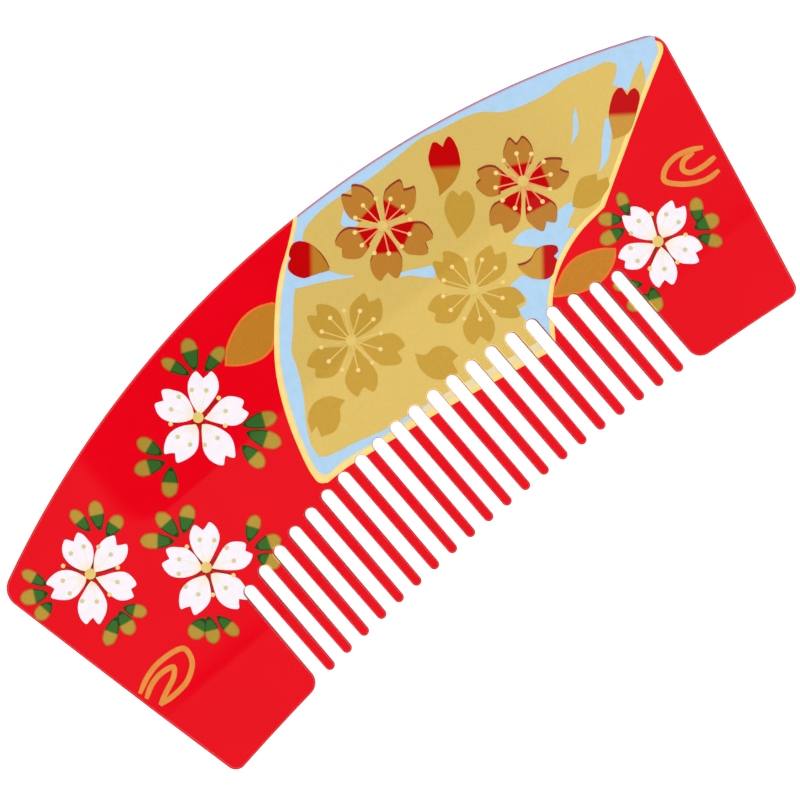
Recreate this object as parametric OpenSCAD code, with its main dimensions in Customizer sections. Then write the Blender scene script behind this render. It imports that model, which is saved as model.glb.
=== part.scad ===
// Kushi comb: arched spine, leaning ends, two wide end teeth and a row of thin teeth
// between them, all one moulding. It lies on its flat back, with the teeth toward -Y.
// The body and the thin teeth are two nodes that meet face to face just under the roots.

/* [Outline] */
// Radius of the arched spine, seen from above
spine_r = 125.6; // [110:0.5:160]
// Height at the middle, from the curve of the tips to the top of the spine
middle_h = 44.7; // [40:0.1:52]
// Length of the comb between its leaning ends, measured at the top corners
end_span = 107.2; // [98:0.2:116]
// Lean of each end, in degrees from upright
end_lean = 11.9; // [4:0.1:16]
// Radius of the curve that the tips of the teeth follow
tip_curve_r = 327; // [250:1:500]
// Rounding of the two top corners
top_corner_r = 2.5; // [1:0.1:4]
// Rounding of the outer corner of each end tooth
outer_corner_r = 1.4; // [0.8:0.1:3]
// Rounding of the inner corner of each end tooth
inner_corner_r = 1.8; // [0.8:0.1:3]

/* [Teeth] */
// Number of thin teeth
tooth_count = 20; // [12:1:22]
// Distance from one thin tooth to the next
tooth_pitch = 3.0; // [2.6:0.05:3.2]
// Width of the gap between two teeth at its root
gap_root_w = 1.64; // [1.2:0.02:1.8]
// Width of the gap between two teeth at the tips
gap_tip_w = 1.76; // [1.2:0.02:1.9]
// How far the thin teeth stop short of the curve that the end teeth reach
tip_setback = 0.15; // [0.05:0.05:0.6]
// Depth from the top of the spine to the root of the middle gaps
root_depth = 27.3; // [24:0.1:32]
// Radius of the curve that the roots of the gaps follow
root_curve_r = 124; // [100:1:200]

/* [Thickness] */
// Greatest thickness, across the middle of the comb
thick_max = 5.2; // [4:0.1:7]
// Radius of the crowned face, seen from the end
face_r = 200; // [150:5:400]
// Distance from the top of the spine to the line of greatest thickness
crown_from_top = 18; // [12:0.5:24]
// Distance from the top of the spine to the line where the teeth start to thin
taper_from_top = 36.2; // [30:0.2:39]
// Thickness that the taper reaches at the lowest corners
thick_tip = 1.9; // [1.5:0.1:3]
// Rounding of the face along the spine and the ends
face_edge_r = 1.2; // [0.8:0.1:2.4]
// Rounding of the back along the spine and the ends
back_edge_r = 0.8; // [0.4:0.1:1.2]

/* [Hidden] */
$fn = 72;
// Steps round the long curves, so that each lies within 0.02 mm of a true arc
long_fn = 360;
// Overrun of a cutter past what it cuts
over = 1;
// A rounding circle is this much larger than one that only touches its two edges
past = 1.002;
// How far out a corner's cutter reaches from the centre of its circle, in radii
corner_reach = 1.8;
// A thin tooth's end circle against half the tooth's width there
tip_fullness = 1.04;
gap_count = tooth_count + 1;
// The body hands over to a thin tooth this far below the lower root beside it
seat_drop = 0.3;

// Points and directions are [x, y] in the plan
function unit(v) = v / norm(v);
function cross2(a, b) = a[0] * b[1] - a[1] * b[0];
function circle_y(centre_y, r, x) = centre_y + sqrt(r * r - x * x);
// Where a line from p along d leaves (way = 1) or enters (way = -1) a circle
function line_circle(p, d, c, r, way) =
    p + d * (way * sqrt(r * r - pow(cross2(p - c, d), 2)) - (p - c) * d);

// Before centring, y is measured from the top of the spine, downward is negative
spine_c = [0, -spine_r];
tip_c = [0, -middle_h - tip_curve_r];
root_c = [0, -root_depth - root_curve_r];

// The right end: where it meets the spine, the way down it and the way out of it
end_dir = [-sin(end_lean), -cos(end_lean)];
end_out = [cos(end_lean), -sin(end_lean)];
end_top = [end_span / 2, circle_y(-spine_r, spine_r, end_span / 2)];

// Centres of the three corner roundings on the right half
top_corner_c = line_circle(end_top - end_out * top_corner_r, end_dir,
    spine_c, spine_r - top_corner_r, -1);
outer_corner_c = line_circle(end_top - end_out * outer_corner_r, end_dir,
    tip_c, tip_curve_r + outer_corner_r, -1);
wall_x = (gap_count - 1) / 2 * tooth_pitch + gap_tip_w / 2;
inner_corner_c = line_circle([wall_x + inner_corner_r, 0], [0, -1],
    tip_c, tip_curve_r + inner_corner_r, -1);

// Each corner touches its two edges at these points
top_touch = [top_corner_c + end_out * top_corner_r,
    spine_c + unit(top_corner_c - spine_c) * spine_r];
outer_touch = [outer_corner_c + end_out * outer_corner_r,
    tip_c + unit(outer_corner_c - tip_c) * tip_curve_r];
inner_touch = [inner_corner_c - [inner_corner_r, 0],
    tip_c + unit(inner_corner_c - tip_c) * tip_curve_r];

// Across the comb: the middle of each gap and of each thin tooth
gap_xs = [for (i = [0 : gap_count - 1]) (i - (gap_count - 1) / 2) * tooth_pitch];
tooth_xs = [for (i = [0 : tooth_count - 1]) (i - (tooth_count - 1) / 2) * tooth_pitch];
// Height of the centre of a gap's round root
function root_y(x) = circle_y(root_c[1], root_curve_r, x) - gap_root_w / 2;
// Height where a thin tooth starts, under the lower of the two roots beside it
function seat_y(x) = root_y(abs(x) + tooth_pitch / 2) - seat_drop;

// The lowest point of the plan, and the middle between it and the top
low_y = outer_corner_c[1] - outer_corner_r;
mid_y = low_y / 2;

// The face seen from the end: crown centre, and the taper line through two points
crown_c = [-crown_from_top, thick_max - face_r];
taper_top = [-taper_from_top, circle_y(crown_c[1], face_r, crown_from_top - taper_from_top)];
taper_low = [low_y, thick_tip];
taper_slope = (taper_top[1] - taper_low[1]) / (taper_top[0] - taper_low[0]);
function taper_z(y) = taper_low[1] + (y - taper_low[0]) * taper_slope;
function taper_y(z) = taper_low[0] + (z - taper_low[1]) / taper_slope;

// Cuts a corner back to a circle that touches both of its edges
module corner_cut(c, r, touch) {
    far = c + unit(touch[0] + touch[1] - 2 * c) * r * corner_reach;
    difference() {
        polygon([c, touch[0], far, touch[1]]);
        translate(c) circle(r * past);
    }
}

// The plate between the spine, the leaning ends and the curve of the tips
module plate_plan() {
    reach = end_dir * (over - low_y) / cos(end_lean);
    low_right = end_top + reach;
    high_right = end_top - reach;
    difference() {
        intersection() {
            translate(spine_c) circle(spine_r, $fn = long_fn);
            polygon([low_right, high_right,
                [-high_right[0], high_right[1]], [-low_right[0], low_right[1]]]);
        }
        translate(tip_c) circle(tip_curve_r, $fn = long_fn);
        for (side = [0, 1]) mirror([side, 0]) {
            corner_cut(top_corner_c, top_corner_r, top_touch);
            corner_cut(outer_corner_c, outer_corner_r, outer_touch);
            corner_cut(inner_corner_c, inner_corner_r, inner_touch);
        }
    }
}

// One gap between teeth, round at its root and open at the tips
module gap_plan(x) {
    translate([x, root_y(x)]) circle(gap_root_w / 2);
    polygon([[x - gap_root_w / 2, root_y(x)], [x + gap_root_w / 2, root_y(x)],
        [x + gap_tip_w / 2, low_y - over], [x - gap_tip_w / 2, low_y - over]]);
}

// Rounds the tip of one thin tooth
module tip_cut(x) {
    tip_r = (tooth_pitch - gap_tip_w) / 2 * tip_fullness;
    tip_y = circle_y(tip_c[1], tip_curve_r, x) + tip_setback + tip_r;
    translate([x, tip_y]) difference() {
        translate([-tooth_pitch / 2, -tip_r - over]) square([tooth_pitch, tip_r + over]);
        circle(tip_r);
    }
}

// All that is cut out between and round the thin teeth
module teeth_cut() {
    translate([0, 0, -over]) linear_extrude(thick_max + 2 * over) {
        for (x = gap_xs) gap_plan(x);
        for (x = tooth_xs) tip_cut(x);
    }
}

// The thickness seen from the end: flat back, crowned face, tapered teeth
module side_plan() {
    intersection() {
        translate(crown_c) circle(face_r, $fn = long_fn);
        polygon([[low_y - over, 0], [over, 0], [over, thick_max + over],
            [taper_y(thick_max + over), thick_max + over],
            [low_y - over, taper_z(low_y - over)]]);
    }
}

// What the rounding takes off an upright edge at x = 0, its solid at negative x
module edge_cut() {
    translate([-face_edge_r, thick_max - face_edge_r]) difference() {
        square(face_edge_r + over);
        circle(face_edge_r * past);
    }
    translate([-back_edge_r, back_edge_r]) difference() {
        translate([0, -back_edge_r - over]) square([back_edge_r + over, back_edge_r + over]);
        circle(back_edge_r * past);
    }
}

module spine_cut() {
    translate(spine_c) rotate_extrude($fn = long_fn) translate([spine_r, 0]) edge_cut();
}

module end_cut() {
    reach = norm(end_top) * 2;
    translate(end_top) rotate([90, 0, -end_lean])
        translate([0, 0, -reach / 2]) linear_extrude(reach) edge_cut();
}

// The comb before its teeth are cut
module blank() {
    difference() {
        intersection() {
            linear_extrude(thick_max + over) plate_plan();
            rotate([90, 0, 90]) linear_extrude(2 * end_span, center = true) side_plan();
        }
        spine_cut();
        for (side = [0, 1]) mirror([side, 0, 0]) end_cut();
    }
}

// The whole moulding, before it is parted into the nodes
module comb() {
    difference() {
        blank();
        teeth_cut();
    }
}

// The room of the thin teeth, one column for each
module tooth_room() {
    for (x = tooth_xs) translate([x - tooth_pitch / 2, low_y - over, -over])
        cube([tooth_pitch, seat_y(x) - low_y + over, thick_max + 2 * over]);
}

module comb_body() {
    color([0.9, 0.05, 0.1]) translate([0, -mid_y, 0]) difference() {
        comb();
        tooth_room();
    }
}

module thin_teeth() {
    color([0.9, 0.05, 0.1]) translate([0, -mid_y, 0]) intersection() {
        comb();
        tooth_room();
    }
}

comb_body();
thin_teeth();
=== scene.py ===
"""A kushi comb in red acrylic with a printed fan, blossoms and drop leaves, lying on its back.
Lengths are millimetres in the frame's axes, and a mesh is scaled to metres when it is made."""

import math

import bpy
import numpy as np
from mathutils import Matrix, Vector, kdtree
from mathutils.geometry import delaunay_2d_cdt


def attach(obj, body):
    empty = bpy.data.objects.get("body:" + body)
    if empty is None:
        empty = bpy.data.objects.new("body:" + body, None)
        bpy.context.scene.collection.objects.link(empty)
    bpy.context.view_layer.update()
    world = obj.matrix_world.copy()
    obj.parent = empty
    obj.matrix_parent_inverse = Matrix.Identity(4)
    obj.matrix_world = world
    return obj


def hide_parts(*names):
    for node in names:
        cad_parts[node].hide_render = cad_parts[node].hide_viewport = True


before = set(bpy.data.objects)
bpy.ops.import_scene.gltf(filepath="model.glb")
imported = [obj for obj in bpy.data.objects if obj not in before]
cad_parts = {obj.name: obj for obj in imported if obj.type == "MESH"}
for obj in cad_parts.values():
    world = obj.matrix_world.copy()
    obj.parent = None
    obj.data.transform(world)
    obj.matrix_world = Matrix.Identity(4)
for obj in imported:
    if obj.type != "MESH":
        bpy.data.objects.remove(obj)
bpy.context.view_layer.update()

# The moulding
# Red acrylic, moulded in one piece: a plate with an arched spine, a crowned face, a flat back and
# 21 gaps between its teeth. Its edges are polished to small rounds, the teeth to finer ones.

mm = 0.001
spine_r = 125.6
middle_h = 44.7
end_span = 107.2
end_lean = math.radians(11.9)
tip_curve_r = 327
top_corner_r = 2.5
outer_corner_r = 1.4
inner_corner_r = 1.8
tooth_count = 20
tooth_pitch = 3.0
gap_root_w = 1.64
gap_tip_w = 1.76
tip_setback = 0.15
root_depth = 27.3
root_curve_r = 124
thick_max = 5.2
face_r = 200
crown_from_top = 18
taper_from_top = 36.2
thick_tip = 1.9
# How much of the sharp line where the taper starts is polished away
taper_line_soft = 0.15
# Polished rounds: the face's and the back's along the spine and ends, and the teeth's share
face_round = 0.32
back_round = 0.6
tooth_share = 0.65
# A round takes at most this share of the thickness beside it
face_round_share = 0.42
back_round_share = 0.3
# How finely the mesh follows a round, a long curve, a tight curve and the plate's sides
round_steps = 6
long_step = 0.6
short_step = 0.2
plate_grid = 1.5
# Points closer than this are one point
same_point = 1e-7
# Triangles are made only inside closed edges, or all over
fill_inside = 1
fill_all = 0


def arc(centre, r, start, end, step):
    count = max(2, math.ceil(abs(end - start) * r / step))
    turns = np.linspace(start, end, count + 1)
    return np.column_stack([centre[0] + r * np.cos(turns), centre[1] + r * np.sin(turns)])


def straight(a, b, step):
    count = max(1, math.ceil(math.dist(a, b) / step))
    return np.linspace(a, b, count + 1)


def way_to(a, b):
    return math.atan2(b[1] - a[1], b[0] - a[0])


def entry(p, d, c, r):
    """Where a line from p along d first meets the circle of radius r round c."""
    p, d, c = np.array(p), np.array(d), np.array(c)
    across = (p - c)[0] * d[1] - (p - c)[1] * d[0]
    return p + d * (-math.sqrt(r * r - across ** 2) - (p - c) @ d)


spine_c = (0, -spine_r)
tip_c = (0, -middle_h - tip_curve_r)
end_dir = (-math.sin(end_lean), -math.cos(end_lean))
end_out = np.array([math.cos(end_lean), -math.sin(end_lean)])
end_top = np.array([end_span / 2, math.sqrt(spine_r ** 2 - (end_span / 2) ** 2) - spine_r])
top_corner_c = entry(end_top - end_out * top_corner_r, end_dir, spine_c, spine_r - top_corner_r)
outer_corner_c = entry(end_top - end_out * outer_corner_r, end_dir, tip_c,
                       tip_curve_r + outer_corner_r)
gap_xs = (np.arange(tooth_count + 1) - tooth_count / 2) * tooth_pitch
wall_x = gap_xs[-1] + gap_tip_w / 2
inner_corner_c = entry((wall_x + inner_corner_r, 0), (0, -1), tip_c, tip_curve_r + inner_corner_r)
plate_top = (outer_corner_r - outer_corner_c[1]) / 2


def root_y(x):
    return math.sqrt(root_curve_r ** 2 - x * x) - root_curve_r - root_depth - gap_root_w / 2


def half_outline():
    """The right half from the middle of the spine round to the last gap, and its rounds' share."""
    lean_way = math.atan2(end_out[1], end_out[0])
    spine_end = way_to(spine_c, top_corner_c)
    tip_way = way_to(outer_corner_c, tip_c)
    stretches = [
        (arc(spine_c, spine_r, math.pi / 2, spine_end, long_step), 1, 1),
        (arc(top_corner_c, top_corner_r, spine_end, lean_way, short_step), 1, 1),
        (straight(top_corner_c + end_out * top_corner_r,
                  outer_corner_c + end_out * outer_corner_r, long_step), 1, 1),
        (arc(outer_corner_c, outer_corner_r, lean_way, tip_way, short_step), 1, tooth_share),
        (arc(tip_c, tip_curve_r, way_to(tip_c, outer_corner_c), way_to(tip_c, inner_corner_c),
             long_step), tooth_share, tooth_share),
        (arc(inner_corner_c, inner_corner_r, way_to(inner_corner_c, tip_c), -math.pi,
             short_step), tooth_share, tooth_share)]
    points = np.vstack([stretch[:-1] for stretch, _, _ in stretches])
    share = np.concatenate([np.linspace(a, b, len(stretch))[:-1] for stretch, a, b in stretches])
    return points, share


def teeth_outline():
    """Up, round and down every gap, with the tooth tips between, from right to left."""
    tip_r = (tooth_pitch - gap_tip_w) / 2
    stretches = []
    low_right = np.array([wall_x, inner_corner_c[1]])
    for x in gap_xs[::-1]:
        right_root = (x + gap_root_w / 2, root_y(x))
        left_root = (x - gap_root_w / 2, root_y(x))
        stretches.append(straight(low_right, right_root, long_step)[:-1])
        stretches.append(arc((x, root_y(x)), gap_root_w / 2, 0, math.pi, short_step)[:-1])
        if x == gap_xs[0]:
            stretches.append(straight(left_root, (-wall_x, inner_corner_c[1]), long_step)[:-1])
            break
        tooth_x = x - tooth_pitch / 2
        tip = (tooth_x, math.sqrt(tip_curve_r ** 2 - tooth_x ** 2) + tip_c[1] + tip_setback + tip_r)
        stretches.append(straight(left_root, (tooth_x + tip_r, tip[1]), long_step)[:-1])
        stretches.append(arc(tip, tip_r, 0, -math.pi, short_step / 2)[:-1])
        low_right = np.array([tooth_x - tip_r, tip[1]])
    return np.vstack(stretches)


def comb_outline():
    right, share = half_outline()
    teeth = teeth_outline()
    left = right[::-1] * (-1, 1)
    points = np.vstack([right, teeth, left[:-1]]) + (0, plate_top)
    shares = np.concatenate([share, np.full(len(teeth), tooth_share), share[::-1][:-1]])
    before, after = np.roll(points, 1, 0), np.roll(points, -1, 0)
    along = after - before
    outward = np.column_stack([-along[:, 1], along[:, 0]])
    return points, shares, outward / np.linalg.norm(outward, axis=1)[:, None]


outline, round_share, outward = comb_outline()


def face_height(y):
    """Height and slope of the face: crowned, then tapered, with the line between them softened."""
    down = plate_top - y
    crown = thick_max - face_r + np.sqrt(face_r ** 2 - (down - crown_from_top) ** 2)
    crown_slope = (down - crown_from_top) / np.sqrt(face_r ** 2 - (down - crown_from_top) ** 2)
    line_top = thick_max - face_r + math.sqrt(face_r ** 2 - (taper_from_top - crown_from_top) ** 2)
    fall = (line_top - thick_tip) / (2 * plate_top - taper_from_top)
    taper = line_top - (down - taper_from_top) * fall
    share = np.clip(0.5 + (taper - crown) / (2 * taper_line_soft), 0, 1)
    height = share * crown + (1 - share) * taper - taper_line_soft * share * (1 - share)
    return height, share * crown_slope + (1 - share) * fall


def rounds_beside(points, shares):
    """The radius of the face's round and of the back's beside points of the edge."""
    height = face_height(points[:, 1])[0]
    return (shares * np.minimum(face_round, height * face_round_share),
            shares * np.minimum(back_round, height * back_round_share))


edge_tree = kdtree.KDTree(len(outline))
for number, (x, y) in enumerate(outline):
    edge_tree.insert((x, y, 0), number)
edge_tree.balance()


def edge_near(points):
    """How far in from the edge each point is, the way out there and the round's share."""
    nearest = np.array([edge_tree.find((x, y, 0))[1] for x, y in points])
    best = np.full(len(points), np.inf)
    way = np.zeros((len(points), 2))
    share = np.zeros(len(points))
    for other in (nearest - 1, (nearest + 1) % len(outline)):
        step = outline[other] - outline[nearest]
        part = np.sum((points - outline[nearest]) * step, 1) / np.sum(step * step, 1)
        part = np.clip(part, 0, 1)
        away = np.linalg.norm(points - outline[nearest] - step * part[:, None], axis=1)
        closer = away < best
        best[closer] = away[closer]
        mixed = outward[nearest] * (1 - part)[:, None] + outward[other] * part[:, None]
        way[closer] = mixed[closer]
        share[closer] = (round_share[nearest] * (1 - part) + round_share[other] * part)[closer]
    return best, way, share


def face_at(points, turn=None, way=None, radius=None):
    """Place and normal on the face above points of the plan. Turn is how far the round has turned
    there, from 0 on the face to a quarter at the edge, and is found from the edge if not given."""
    height, slope = face_height(points[:, 1])
    if turn is None:
        inward, way, share = edge_near(points)
        radius = rounds_beside(points, share)[0]
        turn = np.arcsin(np.clip(1 - inward / radius, 0, 1))
    normal = np.column_stack([np.zeros(len(points)), -slope, np.ones(len(points))])
    normal /= np.linalg.norm(normal, axis=1)[:, None]
    side = np.column_stack([way, np.zeros(len(points))])
    normal = normal * np.cos(turn)[:, None] + side * np.sin(turn)[:, None]
    normal /= np.linalg.norm(normal, axis=1)[:, None]
    height = height - radius * (1 - np.cos(turn))
    return np.column_stack([points, height]), normal


def rings(radius):
    """Lines parallel to the edge, from the edge itself to where its round ends, and their turns."""
    turns = np.linspace(math.pi / 2, 0, round_steps + 1)
    lines = [outline - outward * (radius * (1 - math.sin(turn)))[:, None] for turn in turns]
    return lines, turns


def loop_edges(first, count):
    return [(first + i, first + (i + 1) % count) for i in range(count)]


def grid_inside(step):
    """Grid points that are well inside the rounds of the edge."""
    xs = np.arange(-end_span / 2, end_span / 2, step)
    ys = np.arange(-plate_top, plate_top, step)
    grid = np.array([(x + step / 2 * (row % 2), y) for row, y in enumerate(ys) for x in xs])
    inward, _, share = edge_near(grid)
    return grid[inward > face_round * share + step / 2]


def plate_side(radius):
    """One side of the plate: its plan, how far its round has turned, triangles and edge."""
    lines, turns = rings(radius)
    grid = grid_inside(plate_grid)
    points = np.vstack(lines + [grid])
    edges = sum([loop_edges(len(outline) * i, len(outline)) for i in range(len(lines))], [])
    found = delaunay_2d_cdt([Vector(p) for p in points], edges, [], fill_inside,
                              same_point)
    used, tris = np.unique([tuple(face) for face in found[2]], return_inverse=True)
    origin = np.array([found[3][i][0] for i in used])
    line_of = np.minimum(origin // len(outline), len(lines))
    turn = np.append(turns, 0)[line_of]
    spot = np.where(line_of < len(lines), origin % len(outline), 0)
    edge = np.zeros(len(outline), int)
    on_edge = np.flatnonzero(line_of == 0)
    edge[origin[on_edge]] = on_edge
    return points[origin], turn, spot, [tuple(face) for face in tris.reshape(-1, 3)], edge


def comb_mesh():
    face_radius, back_radius = rounds_beside(outline, round_share)
    plan, turn, spot, face_tris, face_edge = plate_side(face_radius)
    top, top_normal = face_at(plan, turn, outward[spot], face_radius[spot])
    plan, turn, spot, back_tris, back_edge = plate_side(back_radius)
    height = back_radius[spot] * (1 - np.cos(turn))
    back = np.column_stack([plan, height])
    back_normal = np.column_stack([outward[spot] * np.sin(turn)[:, None], -np.cos(turn)])
    count = len(top)
    faces = list(face_tris)
    faces += [tuple(count + i for i in face[::-1]) for face in back_tris]
    after_face, after_back = np.roll(face_edge, -1), np.roll(back_edge, -1) + count
    faces += list(zip(face_edge, after_face, after_back, back_edge + count))
    mesh = bpy.data.meshes.new("comb_moulding")
    mesh.from_pydata(np.vstack([top, back]) * mm, [], [[int(i) for i in f] for f in faces],
                     shade_flat=False)
    mesh.normals_split_custom_set_from_vertices(np.vstack([top_normal, back_normal]))
    return mesh


def put_in_scene(name, data):
    thing = bpy.data.objects.new(name, data)
    bpy.context.scene.collection.objects.link(thing)
    return thing


# Every finish has fine grain, a slow change of haze, and long low waves
plain_grain = 900
grain_detail = 5
grain_spread = (0.3, 0.7)
haze_scale = 60
haze_detail = 3
wave_scale = 45
wave_detail = 1
wave_height = 0.4
acrylic_ior = 1.49


def add_node(nodes, kind, values=()):
    """A new node, with the inputs set that are given by name and value."""
    node = nodes.new(kind)
    for name, value in values:
        node.inputs[name].default_value = value
    return node


def colour_mix(nodes, **colours):
    """A mix of two colours, A where its factor is 0 and B where it is 1."""
    mix = nodes.new("ShaderNodeMix")
    mix.data_type = "RGBA"
    for side, colour in colours.items():
        mix.inputs[side].default_value = (*colour, 1)
    return mix


def surface_play():
    """Shared by every finish: slight unevenness of a polished or printed surface."""
    group = bpy.data.node_groups.new("surface_play", "ShaderNodeTree")
    for name in ("Grain size", "Low roughness", "High roughness", "Wave"):
        group.interface.new_socket(name, in_out="INPUT", socket_type="NodeSocketFloat")
    for name, kind in (("Mottle", "NodeSocketFloat"), ("Roughness", "NodeSocketFloat"),
                       ("Normal", "NodeSocketVector")):
        group.interface.new_socket(name, in_out="OUTPUT", socket_type=kind)
    nodes, links = group.nodes, group.links
    given, out = nodes.new("NodeGroupInput"), nodes.new("NodeGroupOutput")
    place = nodes.new("ShaderNodeTexCoord")
    grain = add_node(nodes, "ShaderNodeTexNoise", [("Detail", grain_detail)])
    links.new(place.outputs["Object"], grain.inputs["Vector"])
    links.new(given.outputs["Grain size"], grain.inputs["Scale"])
    spread = add_node(nodes, "ShaderNodeMapRange", zip(("From Min", "From Max"), grain_spread))
    links.new(grain.outputs["Fac"], spread.inputs["Value"])
    links.new(spread.outputs["Result"], out.inputs["Mottle"])
    haze = add_node(nodes, "ShaderNodeTexNoise", [("Scale", haze_scale), ("Detail", haze_detail)])
    links.new(place.outputs["Object"], haze.inputs["Vector"])
    rough = nodes.new("ShaderNodeMapRange")
    links.new(haze.outputs["Fac"], rough.inputs["Value"])
    links.new(given.outputs["Low roughness"], rough.inputs["To Min"])
    links.new(given.outputs["High roughness"], rough.inputs["To Max"])
    links.new(rough.outputs["Result"], out.inputs["Roughness"])
    wave = add_node(nodes, "ShaderNodeTexNoise", [("Scale", wave_scale), ("Detail", wave_detail)])
    links.new(place.outputs["Object"], wave.inputs["Vector"])
    bump = add_node(nodes, "ShaderNodeBump", [("Distance", wave_height * mm)])
    links.new(given.outputs["Wave"], bump.inputs["Strength"])
    links.new(wave.outputs["Fac"], bump.inputs["Height"])
    links.new(bump.outputs["Normal"], out.inputs["Normal"])
    return group


surface_group = surface_play()


def finish_material(name, light, dark, grain_size=plain_grain, low=0.03, high=0.05, wave=0.03,
                    metal=0):
    """A glossy finish whose colour moves between light and dark. Returns it with its colour mix."""
    material = bpy.data.materials.new(name)
    material.use_nodes = True
    nodes, links = material.node_tree.nodes, material.node_tree.links
    shader = nodes["Principled BSDF"]
    shader.inputs["IOR"].default_value = acrylic_ior
    shader.inputs["Metallic"].default_value = metal
    play = nodes.new("ShaderNodeGroup")
    play.node_tree = surface_group
    for name, value in (("Grain size", grain_size), ("Low roughness", low),
                        ("High roughness", high), ("Wave", wave)):
        play.inputs[name].default_value = value
    tint = colour_mix(nodes, A=dark, B=light)
    links.new(play.outputs["Mottle"], tint.inputs["Factor"])
    links.new(tint.outputs["Result"], shader.inputs["Base Color"])
    links.new(play.outputs["Roughness"], shader.inputs["Roughness"])
    links.new(play.outputs["Normal"], shader.inputs["Normal"])
    return material, tint


red_acrylic, _ = finish_material("red_acrylic", (0.8, 0.0006, 0.009), (0.77, 0.0002, 0.007),
                                 grain_size=120, low=0.02, high=0.035)
moulding = put_in_scene("comb_moulding", comb_mesh())
moulding.data.materials.append(red_acrylic)
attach(moulding, "root")
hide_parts("comb_body", "thin_teeth")

# Blue fan ground
# The first printing on the face: an open fan in pale blue ink, from the roots of the teeth up
# to the spine. Each ink lies on the one before as a film too thin to feel.

# A film rises this much for each layer, and its underside is sunk into the moulding
ink_step = 0.009
ink_sunk = 0.004
# The print stops this far inside the comb's edge, and a triangle is kept if its middle lies at
# least this share of the margin inside
print_margin = 0.06
margin_share = 0.9
# How finely a film follows a curve, how many such steps a straight side takes at once, and how
# finely a film follows the face
curve_step = 0.35
straight_steps = 4
fan_grid = 0.9
# The comb's edge is looked at this far round a film
room_round = 1
ground_layer = 1


def smooth(points, step=curve_step):
    """A curve through given points, as one unbroken stretch."""
    knots = np.array(points, float)
    if len(knots) == 2:
        return straight(knots[0], knots[1], step * straight_steps)
    ends = [2 * knots[0] - knots[1], 2 * knots[-1] - knots[-2]]
    knots = np.vstack([ends[0], knots, ends[1]])
    out = []
    for a, b, c, d in zip(knots, knots[1:], knots[2:], knots[3:]):
        gaps = [math.sqrt(math.dist(p, q)) for p, q in ((a, b), (b, c), (c, d))]
        out_way = (b - a) / gaps[0] - (c - a) / (gaps[0] + gaps[1]) + (c - b) / gaps[1]
        in_way = (c - b) / gaps[1] - (d - b) / (gaps[1] + gaps[2]) + (d - c) / gaps[2]
        out_way, in_way = out_way * gaps[1], in_way * gaps[1]
        count = max(2, math.ceil(math.dist(b, c) / step))
        t = (np.arange(count) / count)[:, None]
        out.append((2 * t ** 3 - 3 * t ** 2 + 1) * b + (t ** 3 - 2 * t ** 2 + t) * out_way
                   + (3 * t ** 2 - 2 * t ** 3) * c + (t ** 3 - t ** 2) * in_way)
    return np.vstack(out + [knots[-2:-1]])


def shape(*stretches, step=curve_step):
    """A closed outline from stretches that meet in corners. Each goes on from the last one."""
    out = []
    last = []
    for stretch in stretches:
        line = smooth(last + list(stretch), step)
        out.append(line[:-1])
        last = [tuple(line[-1])]
    closed = np.vstack(out + [last])
    return closed[:-1] if math.dist(closed[0], closed[-1]) < same_point else closed


def inside(points, loop):
    """Which points lie inside a closed outline."""
    x, y = points[:, :1], points[:, 1:]
    ax, ay = loop[:, 0], loop[:, 1]
    bx, by = np.roll(ax, -1), np.roll(ay, -1)
    crosses = (ay > y) != (by > y)
    rise = np.where(by == ay, 1, by - ay)
    hits = crosses & (x < ax + (y - ay) / rise * (bx - ax))
    return hits.sum(1) % 2 == 1


def near_box(points, low, high, room):
    return np.all((points > low - room) & (points < high + room), axis=1)


def film(loops, keep, layer, grid=0, mark=None):
    """One patch of ink: the parts of the closed outlines that keep() says, as a slab on the face.
    Layer counts the steps of ink that its top lies over the moulding."""
    low = np.min([loop.min(0) for loop in loops], axis=0)
    high = np.max([loop.max(0) for loop in loops], axis=0)
    points, edges, count = list(loops), [], 0
    for loop in loops:
        edges += loop_edges(count, len(loop))
        count += len(loop)
    radius = rounds_beside(outline, round_share)[0]
    for line in [outline - outward * print_margin] + rings(radius)[0][1:]:
        near = near_box(line, low, high, room_round)
        if near.any():
            points.append(line)
            follows = near & np.roll(near, -1)
            edges += [(count + i, count + (i + 1) % len(line)) for i in np.flatnonzero(follows)]
            count += len(line)
    if grid:
        inner = grid_inside(grid)
        points.append(inner[near_box(inner, low, high, 0)])
    found = delaunay_2d_cdt([Vector(p) for p in np.vstack(points)], edges, [], fill_all,
                            same_point)
    plan = np.array([tuple(v) for v in found[0]])
    tris = np.array([tuple(face) for face in found[2]])
    middle = plan[tris].mean(1)
    kept = np.flatnonzero(near_box(middle, low, high, 0))
    kept = kept[keep(middle[kept])]
    kept = kept[inside(middle[kept], outline)]
    kept = kept[edge_near(middle[kept])[0] > print_margin * margin_share]
    used, tris = np.unique(tris[kept], return_inverse=True)
    tris = tris.reshape(-1, 3)
    plan = plan[used]
    a, b, c = plan[tris[:, 0]], plan[tris[:, 1]], plan[tris[:, 2]]
    turned = (b - a)[:, 0] * (c - a)[:, 1] - (b - a)[:, 1] * (c - a)[:, 0] < 0
    tris[turned] = tris[turned][:, ::-1]
    place, normal = face_at(plan)
    ends = {(int(p), int(q)) for tri in tris for p, q in zip(tri, np.roll(tri, -1))}
    rim = [(p, q) for p, q in ends if (q, p) not in ends]
    n = len(plan)
    walls = sorted((q, p, p + n, q + n) for p, q in rim)
    marks = mark(plan) if mark else np.zeros(n)
    return {"points": np.vstack([place + normal * layer * ink_step, place - normal * ink_sunk]),
            "top": tris, "bottom": tris[:, ::-1] + n, "walls": walls,
            "normal": normal, "mark": np.concatenate([marks, marks])}


def in_any(points, loops):
    return np.any([inside(points, loop) for loop in loops], axis=0)


def filled(loops, layer, grid=0, mark=None):
    """A film that fills closed outlines."""
    return film(loops, lambda p: in_any(p, loops), layer, grid, mark)


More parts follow.
